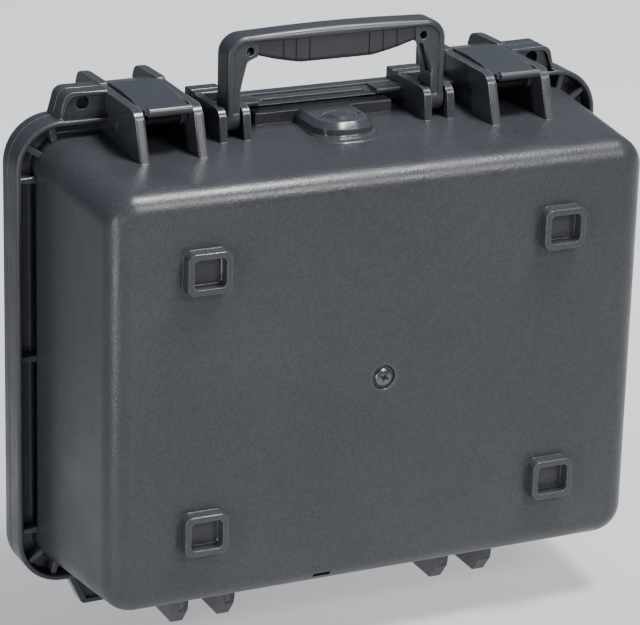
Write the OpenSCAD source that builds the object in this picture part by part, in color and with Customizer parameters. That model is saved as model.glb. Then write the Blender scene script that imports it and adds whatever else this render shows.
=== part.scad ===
// Hard moulded carrying case, standing on its hinge side with the handle up.
// Shapes are drawn from the centre of the base's bottom face: +X across the case,
// +Y from the bottom face towards the lid, +Z from the hinges towards the handle.
// seated() then puts the middle of the footprint at the origin.

/* [Case] */
// Width over the rim
rim_w = 406; // [396:1:416]
// Height over the rim
rim_h = 308; // [302:1:314]
// Depth of the base from its bottom face to the parting plane
base_d = 121; // [118:1:124]
// Depth of the lid beyond the parting plane
lid_d = 43; // [40:1:46]
// Wall thickness of both shells
wall = 3.5; // [3:0.1:4]
// Slope of the side walls, as rise over run
draft = 0.056; // [0.04:0.004:0.06]

/* [Rim] */
// Corner radius of the rim
rim_r = 30; // [28:1:32]
// Where the base's skirt starts, from the bottom face
skirt_d = 105; // [103:1:107]
// Thickness of the skirt
skirt_t = 3.5; // [3:0.1:4]
// Thickness of the flange that joins wall and skirt
flange_t = 4; // [3.5:0.1:4.5]
// Gap between the two halves
parting_gap = 0.5; // [0.4:0.1:0.8]
// Depth of the lid's rim
lid_rim_d = 10; // [9:0.5:11]

/* [Base] */
// Width of the base at its bottom face
base_w = 366; // [360:1:368]
// Height of the base at its bottom face
base_h = 272; // [268:1:274]
// Radius of the upright corners
corner_r = 20; // [18:1:22]
// Radius of the edges of the bottom face
edge_r = 15; // [13:1:15]
// Distance of a square foot from the centre, across
foot_x = 121; // [117:1:125]
// Distance of a square foot from the centre, up
foot_z = 85; // [82:1:88]
// Width of a foot
foot_w = 29; // [28:1:30]
// Height of a foot, up the case
foot_l = 26.5; // [25.5:0.5:28]
// How far a foot stands out
foot_h = 7.5; // [6.5:0.5:8]

/* [Latches] */
// Distance of a latch from the middle
latch_x = 120.25; // [119:0.5:121]
// Width of the latch lever
latch_w = 31; // [30:0.5:31.5]
// Distance between the faces of a pair of guards
guard_gap = 32.5; // [32.2:0.1:33]
// Thickness of a guard
guard_t = 6; // [5.5:0.1:6.5]
// Height of the guards over the centre of the case
guard_top = 170; // [169:0.5:171]

/* [Handle] */
// Width over the handle's legs
handle_w = 150; // [149:0.5:150.5]
// Thickness of the handle, front to back
handle_t = 18; // [16:0.5:19]
// Width of a leg
leg_w = 9.4; // [9:0.1:9.6]
// Height of the handle's top over its pivot
handle_rise = 54.5; // [52:0.5:56]

/* [Hidden] */

CASE = [0.27, 0.28, 0.32];
CASE_DARK = [0.16, 0.16, 0.18];
STEEL = [0.72, 0.73, 0.75];
FOAM = [0.12, 0.12, 0.13];
RUBBER = [0.08, 0.08, 0.08];

$fn = 64;
hull_fn = 32;
eps = 0.01;

// The case stands on the hinge ribs, which reach down to stand_z.
stand_z = -178;
pad_h = 5.5;
front_y = -foot_h;
face_y = base_d + lid_d;
back_y = face_y + pad_h;
mid_y = (front_y + back_y) / 2;

// Parting plane and rim.
base_top = base_d - parting_gap / 2;
lid_low = base_d + parting_gap / 2;
lid_rim_top = base_d + lid_rim_d;
lid_edge_r = 12;
wall_w = base_w / 2 + draft * base_d;
wall_h = base_h / 2 + draft * base_d;
seal_w = (wall_w + rim_w / 2 - skirt_t / 2) / 2 + 0.4;
seal_h = (wall_h + rim_h / 2 - skirt_t / 2) / 2 + 0.4;
seal_r = rim_r - (rim_w / 2 - seal_w);
tongue_t = 2.4;
tongue_h = 2.6;
groove_t = 4.8;
groove_d = 6;
seal_t = 4.4;
seal_d = 3.2;
rib_t = 4;
rib_setback = 3;

// Padlock tab.
tab_x = 157;
tab_z = 162.5;
tab_hole_r = 4;
tab_front_d = 109.5;
tab_face_d = 112;
tab_r = 6;
tab_lip = 2.5;

// Latches: the link turns on the guards' pin and the lever turns on the link.
guard_x1 = latch_x - guard_gap / 2 - guard_t / 2;
guard_x2 = latch_x + guard_gap / 2 + guard_t / 2;
guard_foot = [50, 132];
guard_nose = [69, 162];
guard_nose_r = 8;
lid_guard_nose = [153.5, 160.8];
lid_guard_r = 8.7;
latch_pin = [90, 151.5];
latch_pin_r = 2;
lever_pin = [75, 159];
lever_pin_r = 1.5;
run_gap = 0.05;
lever_t = 3.2;
lever_end = 134;
lever_top = 170.6;
roll_at = [61.5, 167.4];
roll_r = 3;
roll_inset = 1.6;
link_w = 23.6;
ear_t = 3.2;
catch_d = [124, 128.5];
catch_z = 166;

// Handle.
handle_pin = [86, 152];
handle_pin_r = 2.5;
rib_gap = 11.1;
handle_rib_t = 5;
handle_rib_x1 = handle_w / 2 - leg_w - 0.4 - handle_rib_t / 2;
handle_rib_x2 = handle_rib_x1 + handle_rib_t + rib_gap;
handle_rib_foot = [71.5, 133];
handle_rib_nose = [81.5, 153.5];
handle_rib_nose_r = 6;
handle_bar = 6.5;
handle_r = 12.5;
grip_x = 57;
grip_drop = 16;

// Ledge behind the handle, and the box for the vent valve.
ledge_w = 96;
ledge_d = 96.5;
ledge_z = 149;
vent_w = 40;
vent_d = 54;
vent_top = 149;
vent_r = 17;
valve_d = 74;
knob_r = 9.3;
knob_t = 3;
nut_r = 12;
vent_slot_x = 12.8;
valve_r = 8;
valve_pad_z = 134.4;

// Hinges.
hinge_at = [base_d, -168];
hinge_pin_r = 2;
knuckle_r = 10;
lid_knuckle_r = 8;
hinge_rib_x = [77.4, 109.8];
hinge_rib_t = 8;
hinge_rib_foot = [53, 134];
hinge_rib_nose_d = 72.5;
hinge_rib_nose_r = 6;
hinge_tab_z = -175;
hinge_play = 0.4;

// Feet.
foot_r = 5;
foot_t = 4;

// Slot in the lower edge.
slot_x = -38;
slot_angle = 32;
slot_w = 12;
slot_h = 3.6;
slot_d = 2;

// Centre screw.
screw_r = 2;
screw_recess_r = 7.8;
screw_recess_d = 1.6;
screw_boss_r = 9;
screw_head_r = 5.8;
screw_head_t = 1.6;
screw_l = 16;
cross_w = 1.2;
washer_r = 7.2;
washer_t = 0.8;
anchor_d = 14;

// Foam.
foam_w = 179;
foam_h = 132;
foam_r = 15;
foam_floor_d = [anchor_d - 10, anchor_d];
foam_pad_d = [anchor_d + 0.2, 47.8];
foam_insert_d = [48, 118];
foam_lid_d = [122, base_d + lid_d - wall - 0.3];

module seated() translate([0, -mid_y, -stand_z]) children();

// Draws a shape given as across and up, between two depths.
module at_depth(d0, d1) translate([0, d1, 0]) rotate([90, 0, 0]) linear_extrude(d1 - d0) children();

// Draws a side profile given as depth and height, as a plate of thickness t centred at x.
module plate_at(x, t) translate([x - t / 2, 0, 0]) rotate([90, 0, 90]) linear_extrude(t) children();

// A round bar along X, from x0 to x1, at a point given as depth and height.
module bar_at(p, r, x0, x1) translate([x0, p[0], p[1]]) rotate([0, 90, 0]) cylinder(r = r, h = x1 - x0);

module both_sides() {
    children();
    mirror([1, 0, 0]) children();
}

module round_rect(w, h, r) {
    square([2 * w, 2 * (h - r)], center = true);
    square([2 * (w - r), 2 * h], center = true);
    for (x = [-1, 1], z = [-1, 1]) translate([x * (w - r), z * (h - r)]) circle(r);
}

module ring(w, h, r, t) {
    difference() {
        round_rect(w + t / 2, h + t / 2, r + t / 2);
        round_rect(w - t / 2, h - t / 2, r - t / 2);
    }
}

// A block with sloping walls and one rounded face: w and h are half sizes at that face.
module shell_block(w, h, r, e, y_face, y_open) {
    dir = sign(y_open - y_face);
    grow = draft * abs(y_open - y_face);
    hull() for (x = [-1, 1], z = [-1, 1]) {
        translate([x * (w - r), y_face + dir * e, z * (h - r)]) rotate([90, 0, 0])
            rotate_extrude($fn = 48) intersection() {
                translate([r - e, 0]) circle(e, $fn = hull_fn);
                translate([0, -e]) square([r, 2 * e]);
            }
        translate([x * (w + grow - r), y_open - (dir > 0 ? 0.5 : 0), z * (h + grow - r)])
            rotate([-90, 0, 0]) cylinder(r = r, h = 0.5, $fn = 48);
    }
}

// Side profile of a guard: a leaning front edge from foot, a round nose and a top that reaches back.
module guard_profile(foot, nose, r, back, back_z) {
    lean = atan2(nose[0] - r - foot[0], nose[1] - foot[1]);
    polygon([foot, nose + r * [-cos(lean), sin(lean)], nose, nose + [0, r], [back, back_z], [back, foot[1]]]);
    translate(nose) circle(r);
}

// Side profile of a guard on the lid.
module lid_guard_profile() {
    n = lid_guard_nose;
    polygon([[lid_low, 134], [lid_low, guard_top], n + [0, lid_guard_r], n + [lid_guard_r, 0], [face_y - 2, 142],
             [face_y - 4, 134]]);
    translate(n) circle(lid_guard_r);
}

module tab_outline(inset) {
    polygon([[guard_x2 - 1, 150], [174 - inset, 150], [174.2 - inset, 152.5], [169.3 - inset, 164 - inset],
             [163.3, guard_top - inset], [guard_x2 - 1, guard_top - inset]]);
    translate([163.3, 164]) circle(tab_r - inset / 2);
}

module guards() {
    for (x = [guard_x1, guard_x2]) plate_at(x, guard_t)
        guard_profile(guard_foot, guard_nose, guard_nose_r, base_top, guard_top);
}

module base_rim() {
    difference() {
        union() {
            at_depth(skirt_d, base_top) round_rect(rim_w / 2, rim_h / 2, rim_r);
            at_depth(base_top - eps, base_top + tongue_h) ring(seal_w, seal_h, seal_r, tongue_t);
        }
        difference() {
            at_depth(skirt_d - 1, base_top - flange_t)
                round_rect(rim_w / 2 - skirt_t, rim_h / 2 - skirt_t, rim_r - skirt_t);
            channel_ribs();
        }
    }
}

// Stiffening ribs between the wall and the skirt.
module channel_ribs() {
    both_sides() {
        for (z = [-117, 0, 117]) translate([wall_w - 6, skirt_d + rib_setback, z - rib_t / 2]) cube([18, 20, rib_t]);
        for (z = [-1, 1], a = [34, 78]) scale([1, 1, z]) translate([rim_w / 2 - rim_r, skirt_d + rib_setback, rim_h / 2 - rim_r])
            rotate([0, -a, 0]) translate([4, 0, -rib_t / 2]) cube([rim_r - 5, 20, rib_t]);
        for (x = [20, 60]) translate([x - rib_t / 2, skirt_d + rib_setback, -rim_h / 2 + 1]) cube([rib_t, 20, 16]);
    }
}

module padlock_tab() {
    difference() {
        at_depth(tab_front_d, base_top) tab_outline(0);
        at_depth(tab_front_d - 1, tab_face_d) difference() {
            tab_outline(tab_lip);
            translate([100, 100]) square([100, rim_h / 2 - 99.5]);
        }
        translate([tab_x, base_top + 1, tab_z]) rotate([90, 0, 0]) cylinder(r = tab_hole_r, h = 30);
    }
}

module handle_ribs() {
    for (x = [handle_rib_x1, handle_rib_x2]) plate_at(x, handle_rib_t)
        guard_profile(handle_rib_foot, handle_rib_nose, handle_rib_nose_r, base_top, 160);
    at_depth(113, base_top) translate([handle_rib_x1 - handle_rib_t / 2, 140])
        square([handle_rib_x2 - handle_rib_x1 + handle_rib_t, 20.5]);
}

module hinge_ribs() {
    for (x = hinge_rib_x) {
        plate_at(x, hinge_rib_t) mirror([0, 1])
            guard_profile(hinge_rib_foot, [hinge_rib_nose_d, -stand_z - hinge_rib_nose_r], hinge_rib_nose_r,
                          base_top, -stand_z);
        bar_at(hinge_at, knuckle_r, x - hinge_rib_t / 2, x + hinge_rib_t / 2);
    }
    difference() {
        at_depth(tab_front_d, base_top) polygon([[hinge_rib_x[1], -150], [168, -150], [168, -155],
                                             [158.5, hinge_tab_z], [hinge_rib_x[1], hinge_tab_z]]);
        at_depth(tab_front_d - 1, tab_face_d) polygon([[hinge_rib_x[1] + 5, -rim_h / 2], [163, -rim_h / 2],
                                                   [155.5, hinge_tab_z + 3], [hinge_rib_x[1] + 5, hinge_tab_z + 3]]);
    }
}

module foot_ring() {
    difference() {
        at_depth(-foot_h, eps) round_rect(foot_w / 2, foot_l / 2, foot_r);
        at_depth(-foot_h - 1, 0) round_rect(foot_w / 2 - foot_t, foot_l / 2 - foot_t, foot_r - 1.5);
    }
}

module vent_box() {
    difference() {
        translate([0, 0, 130]) linear_extrude(vent_top - 130) {
            translate([-vent_w / 2, vent_d + vent_r]) square([vent_w, skirt_d - vent_d - vent_r + 4]);
            translate([-vent_w / 2 + vent_r, vent_d]) square([vent_w - 2 * vent_r, vent_r + 1]);
            for (x = [-1, 1]) translate([x * (vent_w / 2 - vent_r), vent_d + vent_r]) circle(vent_r);
        }
        translate([0, valve_d, vent_top - knob_t - 1.5]) cylinder(r = knob_r + 0.3, h = 10);
        for (x = [-1, 1]) translate([x * vent_slot_x - 1.6, valve_d - 0.9, vent_top - 3]) cube([3.2, 1.8, 5]);
    }
    translate([-ledge_w / 2, ledge_d, 135]) cube([ledge_w, skirt_d - ledge_d + 2, ledge_z - 135]);
}

// A shallow slot in the rounded lower edge of the bottom face.
module edge_slot() translate([slot_x, edge_r, edge_r - base_h / 2]) rotate([slot_angle, 0, 0])
    translate([-slot_w / 2, -edge_r - 1, -slot_h / 2]) cube([slot_w, 1 + slot_d, slot_h]);

module base_shell() color(CASE) seated() {
    difference() {
        union() {
            shell_block(base_w / 2, base_h / 2, corner_r, edge_r, 0, base_top);
            base_rim();
            both_sides() {
                guards();
                padlock_tab();
                handle_ribs();
                hinge_ribs();
                for (z = [-1, 1]) translate([foot_x, 0, z * foot_z]) foot_ring();
            }
            vent_box();
        }
        difference() {
            shell_block(base_w / 2 - wall, base_h / 2 - wall, corner_r - wall, edge_r - wall, wall, base_top + 5);
            translate([0, wall + 4, 0]) rotate([90, 0, 0]) cylinder(r = screw_boss_r, h = 6);
            translate([0, valve_d, valve_pad_z]) cylinder(r = 14, h = 6);
        }
        translate([0, screw_recess_d, 0]) rotate([90, 0, 0]) cylinder(r = screw_recess_r, h = 5);
        edge_slot();
        translate([0, 20, 0]) rotate([90, 0, 0]) cylinder(r = screw_r + 0.1, h = 30);
        translate([0, valve_d, 120]) cylinder(r = valve_r + 0.1, h = 40);
        both_sides() {
            bar_at(latch_pin, latch_pin_r + run_gap, guard_x1 - 5, guard_x2 + 5);
            bar_at(handle_pin, handle_pin_r + run_gap, handle_rib_x1 - 4, handle_rib_x2 + 4);
            bar_at(hinge_at, hinge_pin_r + run_gap, hinge_rib_x[0] - 6, hinge_rib_x[1] + 4.2);
        }
    }
}

module lid_knuckle() {
    x0 = hinge_rib_x[0] + hinge_rib_t / 2 + hinge_play;
    x1 = hinge_rib_x[1] - hinge_rib_t / 2 - hinge_play;
    bar_at(hinge_at, lid_knuckle_r, x0, x1);
    plate_at((x0 + x1) / 2, x1 - x0) polygon([hinge_at + [1, 0], hinge_at + [lid_knuckle_r, 0],
                                              [lid_rim_top - 0.5, -152], [lid_low, -152]]);
}

module lid_shell() color(CASE) seated() {
    difference() {
        union() {
            shell_block(wall_w - draft * lid_d, wall_h - draft * lid_d, corner_r, lid_edge_r, face_y, lid_low);
            at_depth(lid_low, lid_rim_top) round_rect(rim_w / 2, rim_h / 2, rim_r);
            both_sides() {
                for (x = [guard_x1, guard_x2]) plate_at(x, guard_t) lid_guard_profile();
                at_depth(lid_low, lid_rim_top) difference() {
                    tab_outline(0);
                    translate([tab_x, tab_z]) circle(tab_hole_r);
                }
                at_depth(lid_low, lid_rim_top) translate([handle_rib_x1 - handle_rib_t / 2, 140])
                    square([handle_rib_x2 - handle_rib_x1 + handle_rib_t, 20.5]);
                translate([guard_x1, catch_d[0], rim_h / 2 - 2])
                    cube([guard_x2 - guard_x1, catch_d[1] - catch_d[0], catch_z - rim_h / 2 + 2]);
                lid_knuckle();
                for (z = [-1, 1]) at_depth(face_y - 1, back_y) translate([foot_x, z * foot_z])
                    round_rect(8, 8, 3);
            }
        }
        shell_block(wall_w - draft * lid_d - wall, wall_h - draft * lid_d - wall, corner_r - wall,
                    lid_edge_r - wall, face_y - wall, lid_low - 5);
        at_depth(lid_low - 1, lid_low + groove_d) ring(seal_w, seal_h, seal_r, groove_t);
        at_depth(face_y - 1.2, face_y + 1) difference() {
            round_rect(96, 66, 10);
            round_rect(90, 60, 6);
        }
        both_sides() bar_at(hinge_at, hinge_pin_r + run_gap, hinge_rib_x[0], hinge_rib_x[1]);
    }
}

module lid_seal() color(RUBBER) seated()
    at_depth(lid_low + groove_d - seal_d - 0.1, lid_low + groove_d - 0.1) ring(seal_w, seal_h, seal_r, seal_t);

module hinge_pins() color(STEEL) seated() both_sides()
    bar_at(hinge_at, hinge_pin_r, hinge_rib_x[0] - 3.8, hinge_rib_x[1] + 3.8);

module handle_outline() {
    r = handle_r;
    w = handle_w / 2;
    translate([-w, 0]) square([leg_w, handle_rise - r]);
    translate([w - leg_w, 0]) square([leg_w, handle_rise - r]);
    translate([-w + r, handle_rise - handle_bar]) square([2 * (w - r), handle_bar]);
    for (x = [-1, 1]) {
        scale([x, 1]) translate([w - r, handle_rise - r]) intersection() {
            circle(r);
            square(r);
        }
        scale([x, 1]) polygon([[w - leg_w - 3, handle_rise - handle_bar], [w - leg_w, handle_rise - handle_bar - 3],
                               [w - 1, handle_rise - handle_bar - 3], [w - 1, handle_rise - handle_bar + 1]]);
    }
}

module handle_frame() color(CASE) seated() {
    difference() {
        union() {
            translate([0, 0, handle_pin[1]]) at_depth(handle_pin[0] - handle_t / 2, handle_pin[0] + handle_t / 2)
                handle_outline();
            both_sides() bar_at(handle_pin, handle_t / 2, handle_w / 2 - leg_w, handle_w / 2);
        }
        both_sides() {
            bar_at(handle_pin, handle_pin_r + run_gap, 60, 80);
            translate([handle_w / 2 - leg_w - 10, handle_pin[0] - 5, handle_pin[1] + 16])
                cube([14, 10, handle_rise - handle_bar - 16 - 3]);
        }
    }
}

module handle_grip() color(CASE_DARK) seated() translate([0, 0, handle_pin[1] + handle_rise - handle_bar])
    at_depth(handle_pin[0] - handle_t / 2 + 1.2, handle_pin[0] + handle_t / 2 - 1.2)
        polygon([[-grip_x, 0], [-grip_x, 6.5 - grip_drop], [-44, 3.5 - grip_drop], [-27, -grip_drop],
                 [27, -grip_drop], [44, 3.5 - grip_drop], [grip_x, 6.5 - grip_drop], [grip_x, 0]]);

module handle_pins() color(STEEL) seated() both_sides()
    bar_at(handle_pin, handle_pin_r, handle_rib_x1 - 2.3, handle_rib_x2 + 2.3);

module latch_pins() color(STEEL) seated() both_sides()
    bar_at(latch_pin, latch_pin_r, guard_x1 - 2.8, guard_x2 + 2.8);

module link() {
    difference() {
        union() {
            bar_at(latch_pin, 4.5, latch_x - link_w / 2, latch_x + link_w / 2);
            bar_at(lever_pin, 3.6, latch_x - link_w / 2, latch_x + link_w / 2);
            plate_at(latch_x, link_w) polygon([latch_pin + [-1.6, -3.2], latch_pin + [1.6, 3.2],
                                               lever_pin + [1.6, 3.2], lever_pin + [-1.6, -3.2]]);
        }
        bar_at(latch_pin, latch_pin_r + run_gap, 80, 160);
        bar_at(lever_pin, lever_pin_r + run_gap, 80, 160);
    }
}

module lever() {
    x0 = latch_x - latch_w / 2;
    plate_at(latch_x, latch_w) polygon([roll_at + [0, -1.6], roll_at + [0, 1.6], [70, 167.6], [86, 170.2],
        [104, lever_top + 0.6], [122, lever_top], [lever_end, lever_top - 2], [lever_end, lever_top - 4],
        [120, lever_top - lever_t], [86, 170.2 - lever_t], [70, 167.6 - lever_t]]);
    bar_at(roll_at, roll_r, x0 + roll_inset, x0 + latch_w - roll_inset);
    for (x = [x0 + ear_t / 2, x0 + latch_w - ear_t / 2]) difference() {
        plate_at(x, ear_t) {
            polygon([lever_pin + [-4, 0], lever_pin + [4.4, -0.5], [108, lever_top - 1.5], [70, 166.5]]);
            translate(lever_pin) circle(4.4);
        }
        bar_at(lever_pin, lever_pin_r, 80, 160);
    }
}

module latch_link_left() color(CASE_DARK) seated() mirror([1, 0, 0]) link();
module latch_link_right() color(CASE_DARK) seated() link();
module latch_lever_left() color(CASE) seated() mirror([1, 0, 0]) lever();
module latch_lever_right() color(CASE) seated() lever();

module lever_pin_at() bar_at(lever_pin, lever_pin_r, latch_x - latch_w / 2 + 0.2, latch_x + latch_w / 2 - 0.2);
module lever_pin_left() color(STEEL) seated() mirror([1, 0, 0]) lever_pin_at();
module lever_pin_right() color(STEEL) seated() lever_pin_at();

module valve_body() color(CASE_DARK) seated() translate([0, valve_d, 0]) difference() {
    union() {
        translate([0, 0, 127]) cylinder(r = valve_r, h = vent_top - knob_t - 127 - 0.5);
        translate([0, 0, vent_top - knob_t - 1.4]) cylinder(r = knob_r - 0.2, h = 1.2);
    }
    translate([0, 0, 120]) cylinder(r = 5, h = 40);
}

module valve_nut() color(CASE_DARK) seated() translate([0, valve_d, valve_pad_z - 6]) difference() {
    cylinder(r = nut_r, h = 5, $fn = 6);
    translate([0, 0, -1]) cylinder(r = valve_r + 0.05, h = 7);
}

module valve_seal() color(RUBBER) seated() translate([0, valve_d, valve_pad_z - 0.9]) difference() {
    cylinder(r = 11, h = 0.8);
    translate([0, 0, -1]) cylinder(r = valve_r + 0.05, h = 3);
}

module valve_membrane() color("white") seated() translate([0, valve_d, 138]) cylinder(r = 4.95, h = 0.6);

module valve_knob() color(CASE_DARK) seated() translate([0, valve_d, vent_top - knob_t]) {
    cylinder(r = knob_r - 0.1, h = knob_t + 0.4);
    translate([0, 0, knob_t]) cylinder(r = knob_r - 2.5, h = 1.2);
}

module centre_screw() color(STEEL) seated() difference() {
    union() {
        translate([0, 0.7, 0]) rotate([90, 0, 0]) cylinder(r = screw_head_r, h = screw_head_t);
        translate([0, 0.7 - screw_head_t, 0]) rotate([90, 0, 0])
            cylinder(r1 = screw_head_r, r2 = screw_head_r - 1.6, h = 0.9);
        translate([0, screw_l, 0]) rotate([90, 0, 0]) cylinder(r = screw_r, h = screw_l);
    }
    for (a = [0, 90]) rotate([0, a, 0]) translate([-3, -3, -cross_w / 2]) cube([6, 2.8, cross_w]);
}

module screw_washer() color(STEEL) seated() translate([0, screw_recess_d - 0.05, 0]) rotate([90, 0, 0]) difference() {
    cylinder(r = washer_r, h = washer_t);
    translate([0, 0, -1]) cylinder(r = screw_r + 0.2, h = 3);
}

module foam_anchor() color(CASE_DARK) seated() rotate([-90, 0, 0]) difference() {
    union() {
        translate([0, 0, wall + 4.1]) cylinder(r = 6, h = anchor_d - wall - 4.1);
        translate([0, 0, anchor_d - 2.2]) cylinder(r = 14, h = 2);
    }
    translate([0, 0, 0]) cylinder(r = screw_r + 0.02, h = 16.2);
}

module foam_floor() color(FOAM) seated() difference() {
    at_depth(foam_floor_d[0], foam_floor_d[1] - 2.4) round_rect(foam_w - 9, foam_h - 9, foam_r);
    translate([0, 30, 0]) rotate([90, 0, 0]) cylinder(r = screw_boss_r + 0.5, h = 40);
}

// Pocket outlines in the foam, as centre and half size.
module pockets() {
    translate([-62, 8]) round_rect(92, 88, 22);
    translate([108, 62]) round_rect(56, 42, 12);
    for (i = [0:2]) translate([75 + 36 * i, -42]) round_rect(14, 38, 5);
    translate([-62, -104]) round_rect(60, 14, 6);
    translate([108, -102]) round_rect(48, 12, 6);
}

module foam_pad() color(FOAM) seated() difference() {
    at_depth(foam_pad_d[0], foam_pad_d[1]) round_rect(foam_w, foam_h, foam_r);
    translate([0, anchor_d + 3, 0]) rotate([90, 0, 0]) cylinder(r = 5, h = 10);
}

module foam_insert() color(FOAM) seated() at_depth(foam_insert_d[0], foam_insert_d[1]) difference() {
    round_rect(foam_w, foam_h, foam_r);
    pockets();
    translate([-20, 120]) square([40, 20]);
}

module foam_lid() color(FOAM) seated() at_depth(foam_lid_d[0], foam_lid_d[1]) round_rect(foam_w - 2, foam_h - 2, foam_r);

base_shell();
lid_shell();
hinge_pins();
lid_seal();
handle_frame();
handle_grip();
handle_pins();
latch_pins();
latch_link_left();
latch_link_right();
latch_lever_left();
latch_lever_right();
lever_pin_left();
lever_pin_right();
valve_body();
valve_nut();
valve_seal();
valve_membrane();
valve_knob();
centre_screw();
screw_washer();
foam_anchor();
foam_floor();
foam_pad();
foam_insert();
foam_lid();
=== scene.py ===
import math

import bmesh
import bpy
from mathutils import Matrix, Vector


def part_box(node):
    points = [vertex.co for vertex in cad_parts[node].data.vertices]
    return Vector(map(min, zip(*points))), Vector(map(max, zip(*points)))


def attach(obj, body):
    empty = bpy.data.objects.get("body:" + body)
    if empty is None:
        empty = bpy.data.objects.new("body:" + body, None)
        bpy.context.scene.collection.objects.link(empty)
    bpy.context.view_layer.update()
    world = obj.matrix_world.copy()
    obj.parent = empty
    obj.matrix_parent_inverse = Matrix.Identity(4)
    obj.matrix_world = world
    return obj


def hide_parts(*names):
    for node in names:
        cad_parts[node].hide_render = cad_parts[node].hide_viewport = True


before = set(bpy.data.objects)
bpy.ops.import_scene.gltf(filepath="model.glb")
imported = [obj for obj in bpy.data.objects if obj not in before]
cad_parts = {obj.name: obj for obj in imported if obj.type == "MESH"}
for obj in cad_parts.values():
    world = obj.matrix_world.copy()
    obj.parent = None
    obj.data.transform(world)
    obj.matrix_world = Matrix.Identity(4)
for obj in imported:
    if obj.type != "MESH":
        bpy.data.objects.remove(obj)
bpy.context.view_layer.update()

# Shapes below are in millimetres from the centre of the base's bottom face: x across the case,
# d from the bottom face towards the lid, h from the centre towards the handle.
FOOT_H = 7.5
SCREW_LO, SCREW_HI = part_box("centre_screw")
FACE_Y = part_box("base_shell")[0].y * 1000 + FOOT_H
CENTRE_Z = (SCREW_LO.z + SCREW_HI.z) * 500


def at(x, d, h):
    """A point in case coordinates, as metres in the frame."""
    return Vector((x, FACE_Y + d, CENTRE_Z + h)) / 1000


def centre(node):
    """The centre of a node's box in case coordinates."""
    low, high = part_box(node)
    middle = (low + high) * 500
    return middle.x, middle.y - FACE_Y, middle.z - CENTRE_Z


# Camera ----------------------------------------------------------------------------------------
CAM_AT = at(-817.8, -1616.6, 695.1)
CAM_AZ, CAM_EL, CAM_ROLL = math.radians(-25.55), math.radians(19.84), math.radians(1.54)
SENSOR = 36
LENS = 4.87 * SENSOR


def make_camera():
    """The camera at the photograph's angle: azimuth and elevation, then a slight roll."""
    flat = math.cos(CAM_EL)
    back = Vector((math.sin(CAM_AZ) * flat, -math.cos(CAM_AZ) * flat, math.sin(CAM_EL)))
    level = (-back).cross(Vector((0, 0, 1))).normalized()
    upright = level.cross(-back)
    right = level * math.cos(CAM_ROLL) + upright * math.sin(CAM_ROLL)
    up = upright * math.cos(CAM_ROLL) - level * math.sin(CAM_ROLL)
    matrix = Matrix((right, up, back)).transposed().to_4x4()
    matrix.translation = CAM_AT
    data = bpy.data.cameras.new("camera")
    data.sensor_width = SENSOR
    data.lens = LENS
    data.clip_end = 20
    camera = bpy.data.objects.new("camera", data)
    camera.matrix_world = matrix
    bpy.context.collection.objects.link(camera)
    bpy.context.scene.camera = camera


make_camera()


# Materials -------------------------------------------------------------------------------------
def rgba(value):
    """A colour with full alpha. Anything that isn't a tuple stays as it is."""
    return (*value, 1) if isinstance(value, tuple) else value


class Nodes:
    """Adds shader nodes to one material and links them."""

    def __init__(self, name):
        self.material = bpy.data.materials.new(name)
        self.material.use_nodes = True
        self.tree = self.material.node_tree
        self.shader = self.tree.nodes["Principled BSDF"]
        self.coords = self.add("ShaderNodeTexCoord").outputs["Object"]

    def feed(self, socket, source):
        """Links a node's output to a socket, or sets a constant on it."""
        if hasattr(source, "is_output"):
            self.tree.links.new(source, socket)
        else:
            socket.default_value = source

    def add(self, kind, links=(), **values):
        node = self.tree.nodes.new(kind)
        for key, value in values.items():
            setattr(node, key, value)
        for socket, source in dict(links).items():
            self.feed(node.inputs[socket], source)
        return node

    def noise(self, scale, detail=3.0, rough=0.55):
        return self.add("ShaderNodeTexNoise", {"Vector": self.coords, "Scale": scale, "Detail": detail,
                                               "Roughness": rough}).outputs["Fac"]

    def voronoi(self, scale, feature="F1"):
        return self.add("ShaderNodeTexVoronoi", {"Vector": self.coords, "Scale": scale},
                        feature=feature).outputs["Distance"]

    def ramp(self, source, stops):
        """A colour ramp from (position, grey value) stops."""
        node = self.add("ShaderNodeValToRGB", {"Fac": source})
        for element, (position, grey) in zip(node.color_ramp.elements, stops):
            element.position = position
            element.color = (grey, grey, grey, 1)
        return node.outputs["Color"]

    def math(self, operation, a, b=0.0):
        return self.add("ShaderNodeMath", {0: a, 1: b}, operation=operation).outputs[0]

    def dot(self, a, b):
        return self.add("ShaderNodeVectorMath", {0: a, 1: b}, operation="DOT_PRODUCT").outputs["Value"]

    def mix(self, factor, a, b, blend="MIX"):
        node = self.add("ShaderNodeMix", data_type="RGBA", blend_type=blend)
        for socket, source in ((0, factor), (6, a), (7, b)):
            self.feed(node.inputs[socket], rgba(source))
        return node.outputs[2]

    def bump(self, height, distance, strength=1.0, normal=None):
        links = {"Height": height, "Distance": distance, "Strength": strength}
        if normal is not None:
            links["Normal"] = normal
        return self.add("ShaderNodeBump", links).outputs["Normal"]

    def set(self, **inputs):
        """Feeds the shader's own sockets, and returns the finished material."""
        for key, source in inputs.items():
            self.feed(self.shader.inputs[key.replace("_", " ")], rgba(source))
        return self.material


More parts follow.
